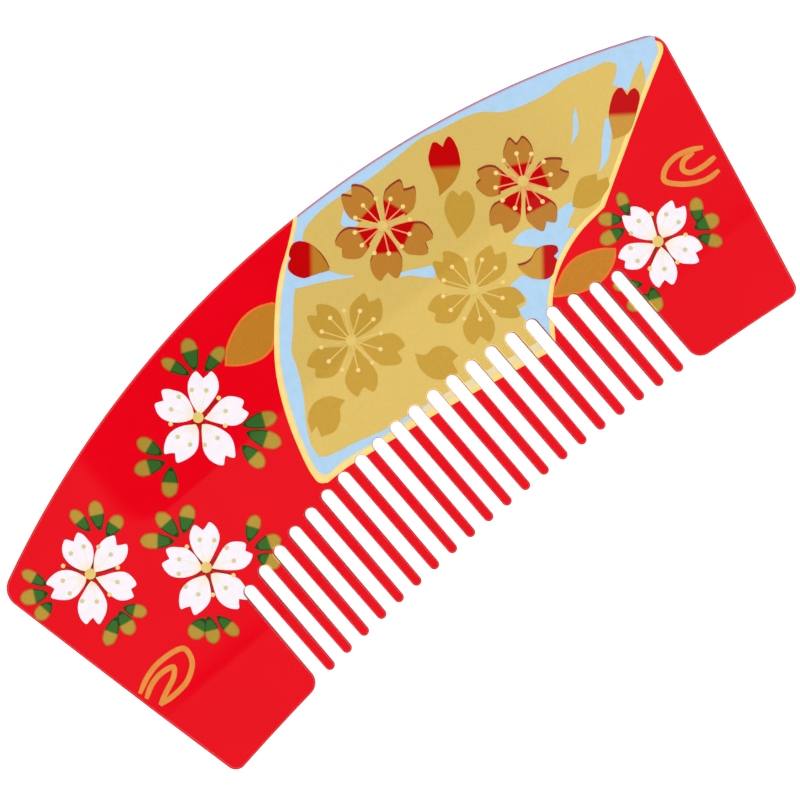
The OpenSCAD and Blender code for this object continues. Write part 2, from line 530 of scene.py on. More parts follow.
def print_piece(name, patches):
    """One printed piece from patches of ink, each with its material."""
    points, faces, normals, marks, inks, first = [], [], [], [], [], 0
    materials = []
    for patch, material in patches:
        if material not in materials:
            materials.append(material)
        both_sides = np.vstack([patch["normal"], -patch["normal"]])
        for face in np.vstack([patch["top"], patch["bottom"]]):
            faces.append([int(i) + first for i in face])
            normals += [tuple(both_sides[i]) for i in face]
        for face in patch["walls"]:
            corners = patch["points"][list(face)]
            flat = np.cross(corners[2] - corners[0], corners[3] - corners[1])
            faces.append([int(i) + first for i in face])
            normals += [tuple(flat / np.linalg.norm(flat))] * 4
        inks += [materials.index(material)] * (len(faces) - len(inks))
        points.append(patch["points"])
        marks.append(patch["mark"])
        first += len(patch["points"])
    mesh = bpy.data.meshes.new(name)
    mesh.from_pydata(np.vstack(points) * mm, [], faces, shade_flat=False)
    for material in materials:
        mesh.materials.append(material)
    mesh.polygons.foreach_set("material_index", inks)
    mesh.attributes.new("past_border", "FLOAT", "POINT").data.foreach_set(
        "value", np.concatenate(marks))
    mesh.normals_split_custom_set(normals)
    piece = put_in_scene(name, mesh)
    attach(piece, "root")
    return piece


# The fan's edge in stretches: down the left, along the foot, up the right to the corner of the
# comb, and the small hook in which it ends there
fan_left = smooth([(4.6, 24.3), (3.9, 23.6), (2.4, 22.4), (0.8, 21.25), (-1.35, 19.85),
                   (-4.1, 17.5), (-8.2, 13.0), (-10.35, 9.95), (-12.35, 5.95), (-13.8, 1.95),
                   (-14.75, -1.8), (-14.7, -3.2), (-13.9, -3.85)])
fan_foot = smooth([(-13.9, -3.85), (-11.0, -3.97), (-7.4, -4.52), (-1.6, -5.52), (4.4, -6.62),
                   (10.5, -7.92), (18.4, -9.62)])
fan_bend = smooth([(18.4, -9.62), (20.0, -7.4), (21.65, -5.1), (23.9, -3.1), (26.9, -1.55),
                   (30.05, -0.6), (34.3, -0.2)])
fan_right = smooth([(34.3, -0.2), (40.0, 3.0), (45.05, 5.8), (52.2, 9.6)])
fan_hook = smooth([(52.2, 9.6), (52.75, 10.2), (52.85, 10.8), (52.5, 11.35)])
over_spine = 0.6
spine_middle = (0, plate_top - spine_r)
fan_top = arc(spine_middle, spine_r + over_spine, way_to(spine_middle, fan_hook[-1]),
              way_to(spine_middle, fan_left[0]), long_step)
fan_edge = np.vstack([fan_left[:-1], fan_foot[:-1], fan_bend[:-1], fan_right[:-1], fan_hook,
                      fan_top])

# Gold inks are powder, which has a finer grain, and an ink's dark grains are darker by this
powder_grain = 2600
dark_grain = 0.94


def soft_range(nodes, start, end, before=0, after=1):
    """A smooth change from one value before the start to another after the end."""
    fade = add_node(nodes, "ShaderNodeMapRange", [("From Min", start), ("From Max", end),
                                                  ("To Min", before), ("To Max", after)])
    fade.interpolation_type = "SMOOTHSTEP"
    return fade


def fading_ink(name, near, far, soft, grain_size=powder_grain, metal=0):
    """A finish that turns from one ink to another where the piece's past_border goes through 0."""
    material, tint = finish_material(name, far, [part * dark_grain for part in far], grain_size,
                                     metal=metal)
    nodes, links = material.node_tree.nodes, material.node_tree.links
    border = nodes.new("ShaderNodeAttribute")
    border.attribute_name = "past_border"
    fade = soft_range(nodes, -soft, soft)
    links.new(border.outputs["Fac"], fade.inputs["Value"])
    both = colour_mix(nodes, A=near)
    links.new(fade.outputs["Result"], both.inputs["Factor"])
    links.new(tint.outputs["Result"], both.inputs["B"])
    links.new(both.outputs["Result"], nodes["Principled BSDF"].inputs["Base Color"])
    return material


# Over the round of the spine the ink is so thin that the red shows through it
thin_ink_w = 0.28
thin_ink_soft = 0.12


def past_round(points):
    from_top = spine_r - np.linalg.norm(np.subtract(points, spine_middle), axis=1)
    return from_top - thin_ink_w


fan_blue = fading_ink("fan_blue", (0.48, 0.2, 0.31), (0.44, 0.655, 0.87), thin_ink_soft,
                      plain_grain)
fan_film = filled([fan_edge], ground_layer, fan_grid, past_round)
print_piece("fan_ground", [(fan_film, fan_blue)])

# Gold clouds
# Bands of gold powder ink over most of the fan, with ragged openings through which the blue
# ground shows.

cloud_layer = 2
cloud = shape(
    [(-1.4, 17.0), (-2.6, 15.9), (-4.8, 13.4), (-6.8, 11.3), (-7.6, 9.3), (-9.3, 6.1),
     (-11.2, 3.4), (-12.5, 0.8), (-12.6, -0.8)],
    [(-11.6, -1.4), (-8.5, -2.2), (-4.0, -3.5), (1.7, -4.4), (7.5, -5.9), (13.5, -7.1),
     (17.0, -8.0)],
    [(18.4, -6.6), (18.2, -5.5), (17.8, -4.4), (17.9, -2.9)],
    [(18.9, -3.0), (19.6, -2.6), (19.4, -1.2), (18.7, -0.1)],
    [(19.9, 0.05), (21.1, -0.05), (22.0, -1.3), (23.5, -1.9), (25.6, -1.4)],
    [(27.0, -1.2), (30.0, -0.4), (34.0, 0.0), (40.0, 3.3), (47.0, 7.4)],
    [(48.5, 8.6), (49.6, 10.7)],
    [(47.7, 9.9), (45.9, 8.8)],
    [(44.9, 10.7)],
    [(46.2, 11.5), (46.9, 12.3), (46.2, 13.3), (44.0, 14.0), (40.6, 15.0), (38.3, 15.1),
     (34.3, 16.1), (32.2, 17.1), (30.5, 18.6), (28.5, 19.5), (25.2, 20.3), (22.6, 21.1),
     (19.4, 21.2), (14.2, 21.4), (11.4, 22.0), (7.0, 22.3), (4.2, 21.8), (3.3, 21.1)],
    [(3.5, 19.0), (3.3, 16.8)],
    [(3.3, 15.8)],
    [(4.4, 14.3), (5.2, 13.6)],
    [(5.0, 13.45)],
    [(4.4, 13.8), (3.3, 14.5), (1.4, 15.6), (-1.4, 17.0)])
cloud_holes = [
    shape([(9.7, 10.1), (11.0, 9.5), (12.2, 8.8), (13.4, 8.2)], [(13.2, 7.2), (12.6, 6.8)],
          [(11.5, 7.9), (10.4, 9.1), (9.5, 9.6)], [(9.7, 10.1)]),
    shape([(22.7, 3.8), (23.9, 4.1), (25.0, 4.0), (26.5, 3.3), (30.0, 3.2), (31.6, 2.9),
           (31.4, 2.1), (30.4, 1.6), (29.1, 0.8)],
          [(29.8, 0.2), (28.4, -0.9), (27.0, -1.6), (25.4, -2.0)],
          [(25.4, 0.2), (24.6, 1.6), (23.6, 2.6), (22.7, 3.8)]),
    shape([(8.1, 19.5), (8.8, 20.0), (9.8, 20.7)], [(9.9, 19.2)], [(9.8, 18.0), (8.4, 18.3)],
          [(8.1, 19.5)]),
    shape([(36.1, 8.3), (37.5, 9.5), (38.7, 10.9), (39.7, 11.6)],
          [(39.0, 10.4), (37.9, 9.0), (36.1, 8.3)]),
    shape([(36.5, 3.5), (37.8, 4.5), (39.0, 5.8), (40.2, 7.0), (41.5, 8.1)],
          [(42.1, 7.4), (40.6, 5.9), (39.5, 4.8), (38.2, 3.9), (36.5, 3.5)])]


def in_cloud(points):
    return inside(points, cloud) & inside(points, fan_edge) & ~in_any(points, cloud_holes)


gold_metal = 0.3
cloud_gold, _ = finish_material("cloud_gold", (0.96, 0.68, 0.185), (0.92, 0.64, 0.165),
                                powder_grain, low=0.04, high=0.07, metal=gold_metal)
cloud_film = film([cloud, fan_edge] + cloud_holes, in_cloud, cloud_layer, fan_grid)
print_piece("gold_clouds", [(cloud_film, cloud_gold)])

# Gold edge line of the fan
# A line in pale gold ink round the fan, ending in a small hook by the corner of the comb. A
# paler band of the ink lies inside it down the left and along the foot, up to the clouds.

corner_line_w = 0.65
foot_line_w = 0.68
right_line_w = 0.6
# The line's width down the left, at these heights
left_line_heights = (-4, 10, 15, 18.5)
left_line_widths = (0.65, 0.6, 0.45, 0.5)
# Over this many points at the corner the width turns from the left's to the foot's
corner_steps = 7
line_layer = 3


def beside(line, widths):
    """The line moved to its right, by a width for each point."""
    before = np.vstack([line[:1], line[:-1]])
    after = np.vstack([line[1:], line[-1:]])
    ways = []
    for start, end in ((before, line), (line, after)):
        step = end - start
        length = np.linalg.norm(step, axis=1)
        ways.append(step / np.where(length == 0, 1, length)[:, None])
    ways[0][0], ways[1][-1] = ways[1][0], ways[0][-1]
    across = [np.column_stack([way[:, 1], -way[:, 0]]) for way in ways]
    middle = across[0] + across[1]
    scale = np.sum(middle * across[0], 1)
    return line + middle / scale[:, None] * np.array(widths)[:, None]


edge_run = np.vstack([fan_left[:-1], fan_foot[:-1], fan_bend[:-1], fan_right])
above_corner = fan_left[:-1][:-corner_steps]
edge_width = np.concatenate([
    np.interp(above_corner[:, 1], left_line_heights, left_line_widths),
    np.linspace(corner_line_w, foot_line_w, corner_steps),
    np.full(len(fan_foot) - 1, foot_line_w),
    np.full(len(fan_bend) + len(fan_right) - 1, right_line_w)])
edge_inner = beside(edge_run, -edge_width)
edge_line = np.vstack([edge_run, fan_hook[1:], edge_inner[::-1]])
band_inner = smooth([(0.0, 20.1), (-3.6, 17.0), (-7.65, 12.55), (-9.65, 9.55), (-11.55, 5.6),
                     (-13.0, 1.7), (-13.85, -2.0), (-13.4, -2.95), (-10.9, -3.0), (-7.25, -3.6),
                     (-4.35, -4.0), (-1.4, -4.4), (1.8, -4.55), (4.75, -5.0), (10.85, -6.25),
                     (18.0, -7.7)])
below_top = fan_left[fan_left[:, 1] < band_inner[0][1]]
pale_band = np.vstack([band_inner, fan_foot[::-1], below_top[::-1]])

line_cream, _ = finish_material("line_cream", (1.0, 0.74, 0.26), (0.95, 0.67, 0.2))
line_pale, _ = finish_material("line_pale", (0.82, 0.7, 0.38), (0.78, 0.66, 0.35))
edge_loops = [edge_line, pale_band]
print_piece("fan_edge_line", [
    (filled([edge_line], line_layer), line_cream),
    (film(edge_loops, lambda p: inside(p, pale_band) & ~inside(p, edge_line), line_layer),
     line_pale)])

# Two gold leaves
# Broad pointed leaves that come out from under the fan on both sides, in brown gold ink with a
# brighter rim.

leaf_rim = 0.28
leaf_layer = 2
leaves = [
    shape([(-14.2, 15.4), (-12.9, 16.8), (-11.2, 17.8), (-9.1, 18.5), (-7.6, 18.6), (-6.1, 18.3),
           (-4.6, 17.6)],
          [(-4.0, 16.2), (-8.4, 13.1)],
          [(-9.9, 13.0), (-11.6, 13.5), (-13.1, 14.4), (-14.2, 15.4)]),
    shape([(32.1, -5.0), (31.0, -4.0), (29.4, -3.1), (27.3, -2.55), (25.4, -2.8), (24.0, -3.4)],
          [(22.2, -4.4), (22.9, -5.1)],
          [(24.4, -6.0), (26.1, -6.7), (28.5, -7.0), (30.3, -6.5), (31.4, -5.8), (32.1, -5.0)])]


def shrunk(loop, by):
    """A closed outline moved inward by a width."""
    area = np.sum(loop[:, 0] * np.roll(loop[:, 1], -1) - np.roll(loop[:, 0], -1) * loop[:, 1])
    to_right = -by if area > 0 else by
    moved = beside(np.vstack([loop[-1:], loop, loop[:1]]), np.full(len(loop) + 2, to_right))
    return moved[1:-1]


leaf_fill, _ = finish_material("leaf_fill", (0.74, 0.29, 0.03), (0.7, 0.26, 0.025),
                               powder_grain, metal=gold_metal)
leaf_bright, _ = finish_material("leaf_bright", (0.78, 0.2, 0.025), (0.72, 0.17, 0.02))
leaf_patches = []
for leaf in leaves:
    core = shrunk(leaf, leaf_rim)
    leaf_loops = [leaf, core, fan_edge]
    open_leaf = lambda p: inside(p, leaf) & ~inside(p, fan_edge)
    leaf_patches += [
        (film(leaf_loops, lambda p: open_leaf(p) & ~inside(p, core), leaf_layer), leaf_bright),
        (film(leaf_loops, lambda p: open_leaf(p) & inside(p, core), leaf_layer, fan_grid),
         leaf_fill)]
print_piece("gold_leaves", leaf_patches)

# Blossoms in the fan
# Four five-petalled cherry blossoms over the clouds, two in dark red ink with gold ink over
# the outer half of each petal, and two in dark gold ink. The gold ink sits a little low and left.

petal_step = 0.25
petal_foot = (0.6, 0)
# The drawing of a blossom. Each petal has its way in degrees, then one side from its foot round
# a lobe to the notch and the other side back, along the petal from the middle and across it
petals = [
    (105, [(1.0, 0.75), (1.5, 1.3), (2.2, 1.85), (3.0, 2.2), (3.7, 2.3), (4.4, 2.15), (5.0, 1.8),
           (5.35, 1.4), (4.75, 0.5)],
     [(5.3, 0.05), (5.6, -0.35), (5.2, -0.85), (4.4, -1.2), (3.6, -1.45), (2.7, -1.35),
      (1.7, -0.9)]),
    (45, [(1.1, 0.45), (2.0, 1.1), (2.8, 1.45), (3.6, 1.65), (4.4, 1.65), (5.2, 1.35), (5.7, 0.9),
          (4.95, -0.05)],
     [(5.4, -0.5), (5.85, -0.9), (5.5, -1.4), (4.8, -1.8), (4.0, -1.95), (3.2, -1.75),
      (2.3, -1.25), (1.3, -0.6)]),
    (-20, [(1.3, 0.35), (2.4, 1.0), (3.3, 1.4), (4.1, 1.5), (5.1, 1.05), (5.7, 0.4),
           (5.2, -0.35)],
     [(5.5, -0.75), (5.75, -1.15), (5.3, -1.6), (4.6, -1.95), (3.8, -2.0), (2.8, -1.6),
      (1.3, -0.6)]),
    (-92, [(0.9, 0.45), (1.8, 1.1), (2.6, 1.5), (3.6, 1.75), (4.5, 1.6), (5.3, 1.2), (6.0, 0.6),
           (5.15, -0.08)],
     [(5.5, -0.5), (5.9, -0.95), (5.5, -1.4), (4.8, -1.75), (4.0, -1.88), (3.0, -1.7),
      (2.1, -1.15), (1.0, -0.4)]),
    (190, [(0.9, 0.65), (1.6, 1.3), (2.4, 1.85), (3.2, 2.05), (4.0, 1.95), (4.8, 1.65),
           (5.45, 1.2), (4.75, 0.3)],
     [(5.15, -0.15), (5.6, -0.55), (5.2, -1.0), (4.4, -1.45), (3.6, -1.65), (2.6, -1.5),
      (1.6, -0.95)])]


def placed(points, centre, turn, size=1):
    """Points of a drawing scaled, turned by degrees and moved to a centre on the face."""
    c, s = math.cos(math.radians(turn)) * size, math.sin(math.radians(turn)) * size
    return np.array(points) @ np.array([[c, s], [-s, c]]) + centre


def petal(way, side, other_side, centre, turn, size, slim):
    drawn = shape([petal_foot] + side, other_side + [petal_foot], step=petal_step)
    drawn[:, 1] *= 1 - slim * np.clip(1 - drawn[:, 0] / slim_reach, 0, 1)
    return placed(drawn, centre, way + turn, size)


def blossom(centre, turn, size, slim=0):
    return [petal(*each, centre, turn, size, slim) for each in petals]


# The petals in the fan are this much slimmer at their feet, and less so up to the reach
fan_slim = 0.4
slim_reach = 3.6
gold_shift = (-0.2, -0.24)
gold_from = 3.05
gold_soft = 0.2
# The gold ink starts this far before the border, where it has no gold in it yet
gold_start = 0.3
# Each blossom's middle, its turn in degrees and its size against the drawing
red_blossoms = [((12.1, 15.7), 189, 1.1), ((28.45, 8.3), 152.6, 1.04)]
gold_blossoms = [((-0.1, 7.1), 196.6, 1.12), ((15.4, 2.05), 190.2, 1.09)]
under_layer = 4
over_layer = 5
# Fading inks need a finer mesh than plain ones
fade_grid = 0.45
dark_red = (0.52, 0.001, 0.002)
brown_under_gold = (0.3, 0.04, 0.025)


def out_along_petal(points, centre, turn):
    """How far points lie out from the centre, along the way of the nearest petal."""
    ways = np.radians([way + turn for way, _, _ in petals])
    return ((points - centre) @ np.array([np.cos(ways), np.sin(ways)])).max(1)


def gold_over(loops, past, start):
    """Gold ink over one part of petals, from where it still has no gold in it."""
    return film(loops, lambda p: in_any(p, loops) & (past(p) > -start), over_layer, fade_grid,
                past)


red_to_brown = fading_ink("red_to_brown", dark_red, brown_under_gold, gold_soft)
red_to_gold = fading_ink("red_to_gold", dark_red, (0.5, 0.205, 0.03), gold_soft)
petal_gold, _ = finish_material("petal_gold", (0.76, 0.45, 0.064), (0.72, 0.42, 0.055),
                                powder_grain, metal=gold_metal)
blossom_patches = []
for centre, turn, size in red_blossoms:
    under = blossom(centre, turn, size, fan_slim)
    gold_centre = np.add(centre, gold_shift)
    over = blossom(gold_centre, turn, size, fan_slim)
    past = lambda p: out_along_petal(p, gold_centre, turn) - gold_from
    blossom_patches += [(filled(under, under_layer, fade_grid, past), red_to_brown),
                        (gold_over(over, past, gold_start), red_to_gold)]
for centre, turn, size in gold_blossoms:
    whole = blossom(centre, turn, size, fan_slim)
    blossom_patches.append((filled(whole, under_layer, fan_grid), petal_gold))
print_piece("fan_blossoms", blossom_patches)

# Loose petals in the fan
# Eight fallen petals, each with a pointed foot and a notched end. Four are dark red with gold
# ink over their feet, and four are dark gold.

# Each red petal's outline, and two points of the line where its gold begins
loose_red = [
    (shape([(3.6, 16.2), (3.9, 17.4), (3.95, 18.7), (3.6, 20.2), (2.9, 21.15), (2.1, 21.45),
            (1.2, 21.1), (0.65, 20.6)], [(0.65, 20.2)],
           [(0.05, 20.0), (-0.45, 19.4), (-0.4, 18.5), (0.3, 17.3), (1.45, 16.85), (2.6, 16.6),
            (3.6, 16.2)]),
     (3.8, 20.0), (1.15, 16.8)),
    (shape([(19.85, 14.35), (20.5, 15.3), (20.9, 16.4), (21.15, 17.55), (21.7, 18.6),
            (22.6, 19.3), (23.4, 19.7), (23.75, 19.4)], [(23.95, 18.5)],
           [(24.8, 18.95), (25.35, 19.0), (25.5, 18.5), (25.25, 17.3), (24.7, 16.15),
            (24.1, 15.3), (22.9, 14.65), (21.5, 14.4), (19.85, 14.35)]),
     (23.9, 15.25), (21.0, 17.5)),
    (shape([(40.8, 5.7), (41.3, 6.6), (41.7, 7.4), (42.1, 8.1), (43.1, 9.0), (44.25, 9.7),
            (45.15, 9.9), (45.6, 9.6)], [(45.45, 8.5)],
           [(46.1, 8.7), (46.7, 8.6), (46.8, 8.0), (46.5, 7.3), (45.5, 6.5), (44.6, 5.9),
            (43.6, 5.35), (42.5, 5.1), (40.8, 5.7)]),
     (44.5, 6.2), (42.3, 7.9)),
    (shape([(21.5, 1.5), (22.4, 1.05), (23.3, 0.95), (24.4, 1.3), (25.3, 1.15), (26.25, 0.55),
            (26.7, -0.1), (26.4, -0.65)], [(25.6, -0.75)], [(25.65, -1.35)],
           [(24.9, -1.85), (24.0, -2.4), (22.95, -2.25), (22.25, -1.4), (21.75, -0.3),
            (21.5, 1.5)]),
     (22.9, -1.8), (25.2, 1.0))]
loose_gold = [
    shape([(17.9, 8.65), (18.2, 10.0), (18.5, 11.3), (19.0, 12.4), (19.9, 13.2), (20.9, 13.65),
           (21.4, 13.6)], [(21.6, 12.5)],
          [(22.3, 12.6), (22.7, 12.3), (22.7, 11.4), (22.1, 10.2), (20.9, 9.2), (19.5, 8.75),
           (17.9, 8.65)]),
    shape([(31.3, 2.4), (32.5, 3.5), (34.3, 4.4), (36.2, 3.6)], [(35.8, 2.8)], [(37.0, 2.4)],
          [(36.6, 1.5), (35.6, 1.1), (34.0, 0.8), (32.3, 1.3), (31.3, 2.4)]),
    shape([(4.7, 1.3), (5.6, 0.3), (7.0, 0.3), (8.2, -0.6), (8.6, -2.4)], [(7.6, -2.5)],
          [(7.2, -4.0)], [(5.5, -3.6), (4.3, -2.4), (4.0, -0.5), (4.7, 1.3)]),
    shape([(-5.6, 2.5), (-6.9, 4.2), (-8.8, 4.7), (-10.6, 3.8), (-11.45, 2.1)], [(-10.4, 2.35)],
          [(-10.8, 0.95)], [(-9.1, 0.4), (-7.6, 1.1), (-6.7, 2.2), (-5.6, 2.5)])]

# The gold fades out more slowly on these than on the blossoms, starts earlier, and slips to its
# full shift over this length
loose_soft = 0.4
loose_start = 0.45
slip_length = 1.5
loose_to_brown = fading_ink("loose_to_brown", dark_red, brown_under_gold, loose_soft)
loose_to_gold = fading_ink("loose_to_gold", dark_red, (0.5, 0.205, 0.022), loose_soft)
loose_to_pale = fading_ink("loose_to_pale", dark_red, (0.6, 0.3, 0.045), loose_soft)
# One gold for each red petal: paler on the last two, toward the fan's right side
loose_golds = [loose_to_gold, loose_to_gold, loose_to_pale, loose_to_pale]
loose_patches = []
for (under, start, end), gold_ink in zip(loose_red, loose_golds):
    step = np.subtract(end, start) / math.dist(start, end)

    def toward_foot(p):
        away = p - start
        return away[:, 0] * -step[1] + away[:, 1] * step[0]

    side = np.sign(toward_foot(under[:1]))[0]
    past = lambda p: toward_foot(p) * side
    slipped = np.clip(past(under) / slip_length, 0, 1)[:, None]
    over = under + slipped * gold_shift
    loose_patches += [(filled([under], under_layer, fade_grid, past), loose_to_brown),
                      (gold_over([over], past, loose_start), gold_ink)]
for whole in loose_gold:
    loose_patches.append((filled([whole], under_layer, fan_grid), petal_gold))
print_piece("loose_petals", loose_patches)

# Drop leaves
# Sprigs of three small leaves round each white blossom, like drops: green ink at the pointed
# inner end, and gold ink with an orange rim at the round outer end.

# Each drop: its round end, its point, half its width and how much of it is green
sprigs = [((-40.3, 14.2), (-40.2, 10.6), 0.82, 0.54), ((-37.35, 13.3), (-39.2, 9.9), 0.94, 0.53),
          ((-36.0, 9.65), (-39.1, 8.85), 0.94, 0.55), ((-49.85, 12.4), (-48.55, 9.0), 0.78, 0.53),
          ((-52.25, 9.9), (-49.05, 8.2), 1.0, 0.5), ((-52.3, 6.75), (-49.45, 7.1), 0.94, 0.45),
          ((-47.85, -1.4), (-44.45, 0.55), 0.9, 0.55), ((-44.5, -2.45), (-43.85, 0.9), 0.98, 0.52),
          ((-41.4, -1.6), (-43.25, 0.9), 0.86, 0.48), ((-36.25, 5.8), (-33.0, 2.9), 1.0, 0.5),
          ((-32.4, 7.05), (-32.3, 2.95), 0.98, 0.58), ((-28.7, 5.2), (-31.6, 2.9), 1.0, 0.57),
          ((-23.2, -1.15), (-26.2, -3.1), 0.9, 0.56), ((-22.8, -5.35), (-26.1, -4.1), 1.0, 0.56),
          ((-25.0, -7.8), (-26.5, -5.0), 1.0, 0.45), ((-39.25, -7.6), (-36.4, -6.65), 1.1, 0.51),
          ((-37.5, -9.95), (-35.9, -6.7), 0.94, 0.53), ((-34.6, -11.05), (-35.1, -7.4), 0.82, 0.52),
          ((-19.7, 21.1), (-18.2, 17.3), 0.8, 0.61), ((-15.6, 21.15), (-17.4, 17.3), 1.05, 0.61),
          ((-12.8, 17.25), (-16.6, 16.45), 0.9, 0.55), ((-28.4, 15.5), (-27.2, 12.0), 0.95, 0.55),
          ((-31.2, 12.8), (-27.5, 11.1), 1.02, 0.55), ((-30.05, 7.5), (-27.3, 10.3), 1.05, 0.53),
          ((-13.3, 6.5), (-17.4, 8.4), 1.02, 0.62), ((-15.15, 3.5), (-17.6, 7.5), 1.1, 0.56),
          ((-18.65, 2.75), (-18.95, 6.6), 1.0, 0.52), ((36.9, 0.0), (35.85, -3.0), 0.76, 0.49),
          ((32.7, -0.8), (35.1, -2.9), 0.88, 0.47), ((31.05, -3.2), (34.5, -3.9), 0.94, 0.47),
          ((43.7, -6.6), (41.8, -9.3), 0.88, 0.52), ((44.3, -10.4), (41.0, -9.4), 1.0, 0.54),
          ((42.6, -13.1), (40.7, -10.4), 0.84, 0.49), ((28.7, -8.3), (31.8, -10.6), 0.8, 0.55),
          ((28.3, -11.6), (31.8, -12.3), 0.94, 0.45), ((31.0, -14.4), (32.35, -11.4), 0.94, 0.5)]
# Half a drop, as shares of its length from the point and of half its width
drop_half = [(0.12, 0.4), (0.32, 0.76), (0.62, 1.0), (0.88, 0.76)]
drop_step = 0.22
drop_grid = 0.6
drop_rim = 0.16
drop_soft = 0.16
# The gold's outline leaves out this many points from the pointed end on, and before it
skip_after = 3
skip_before = 2
# The drops of a sprig lie in layers of their own, so that two that overlap don't share a face
drop_layer = 3
sprig_size = 3
sprig_lift = 0.3
drop_metal = 0.5
green_to_orange = fading_ink("green_to_orange", (0.03, 0.1, 0.016), (0.72, 0.27, 0.035),
                             drop_soft, metal=drop_metal)
green_to_gold = fading_ink("green_to_gold", (0.063, 0.238, 0.039), (0.8, 0.5, 0.07), drop_soft,
                           metal=drop_metal)


def drop(outer, inner, half_w, green_share):
    """A drop's outline, and how far points are past the border from green to gold."""
    length = math.dist(outer, inner)
    side = [(x * length, -y * half_w) for x, y in drop_half]
    back = [(x * length, y * half_w) for x, y in drop_half[::-1]]
    drawn = shape([(0, 0)] + side + [(length, 0)] + back + [(0, 0)], step=drop_step)
    way = np.subtract(outer, inner) / length
    loop = placed(drawn, inner, math.degrees(way_to(inner, outer)))
    return loop, lambda p: (p - inner) @ way - green_share * length


drop_patches = []
for number, each in enumerate(sprigs):
    layer = drop_layer + number % sprig_size * sprig_lift
    loop, past = drop(*each)
    core = shrunk(loop[skip_after:-skip_before], drop_rim)
    drop_patches += [(filled([loop], layer, mark=past), green_to_orange),
                     (filled([core], layer + 1, drop_grid, past), green_to_gold)]
print_piece("drop_leaves", drop_patches)

# White blossoms
# Four cherry blossoms of the same drawing in opaque white ink, three on the left of the fan
# and one on the right.

white_blossoms = [((-43.7, 6.4), 325.2, 1.0), ((-32.35, -2.45), 10.8, 1.02),
                  ((-21.0, 12.35), -0.6, 1.055), ((36.8, -8.0), 191.5, 0.95)]
# The white is tinted with gold near the middle, out to here
tint_from_middle = 1.5
tint_soft = 1.0
blossom_white = fading_ink("blossom_white", (0.95, 0.78, 0.55), (0.95, 0.885, 0.94), tint_soft,
                           plain_grain)
white_patches = []
for centre, turn, size in white_blossoms:
    whole = blossom(centre, turn, size)
    past = lambda p: np.linalg.norm(p - centre, axis=1) - tint_from_middle
    white_patches.append((filled(whole, over_layer, fan_grid, past), blossom_white))
print_piece("white_blossoms", white_patches)

# Stamens
# Twelve thin threads round a disc in every blossom, each with a dot at its end, in gold inks
# that look darker on the white petals than on the red between them.

thread_count = 12
thread_w = 0.17
disc_r = 0.68
dot_r = 0.28
dot_step = 0.12
# Where the first thread points, in degrees, and where a thread starts, as a share of the disc
first_thread = 2.8
thread_start = 0.8
thread_layer = 6
dot_layer = 7
rose_soft = 0.4
# The middle and the reach of each ring of stamens, which sits a little higher than its blossom
white_rings = [((-43.6, 6.65), 3.5), ((-32.15, -2.05), 3.5), ((-20.85, 12.7), 3.5),
               ((36.6, -7.75), 3.5)]
fan_rings = [((11.9, 15.9), 3.5), ((28.75, 8.8), 3.5), ((-0.25, 7.65), 3.8), ((15.35, 2.65), 3.8)]


def dot(centre, r):
    return arc(centre, r, 0, 2 * math.pi, dot_step)[:-1]


def stamens(centre, reach):
    """The threads and dots of one blossom."""
    threads, dots = [], []
    for number in range(thread_count):
        way = math.radians(first_thread + number * 360 / thread_count)
        ahead = np.array([math.cos(way), math.sin(way)])
        across = np.array([-ahead[1], ahead[0]]) * thread_w / 2
        start, end = ahead * disc_r * thread_start, ahead * reach
        threads.append(np.array([start - across, end - across, end + across, start + across])
                       + centre)
        dots.append(dot(ahead * reach + centre, dot_r))
    return threads, dots


thread_on_white, _ = finish_material("thread_on_white", (0.88, 0.85, 0.76), (0.86, 0.83, 0.72))
thread_on_red, _ = finish_material("thread_on_red", (0.2, 0.03, 0.008), (0.16, 0.02, 0.006))
dot_on_white, _ = finish_material("dot_on_white", (0.68, 0.62, 0.31), (0.65, 0.58, 0.28))
dot_cream, _ = finish_material("dot_cream", (0.92, 0.68, 0.27), (0.86, 0.62, 0.22))
dot_faint, _ = finish_material("dot_faint", (0.86, 0.65, 0.22), (0.82, 0.6, 0.19))
rose_to_pale = fading_ink("rose_to_pale", (0.84, 0.3, 0.14), (0.76, 0.52, 0.15), rose_soft)
thread_pale, _ = finish_material("thread_pale", (0.76, 0.56, 0.16), (0.7, 0.5, 0.13))
disc_gold, _ = finish_material("disc_gold", (0.8, 0.6, 0.18), (0.74, 0.54, 0.15))


def split_by(pieces, loops):
    """Small outlines sorted by whether their middles lie in any of the loops."""
    lies_in = [in_any(piece.mean(0)[None], loops)[0] for piece in pieces]
    return ([piece for piece, within in zip(pieces, lies_in) if within],
            [piece for piece, within in zip(pieces, lies_in) if not within])


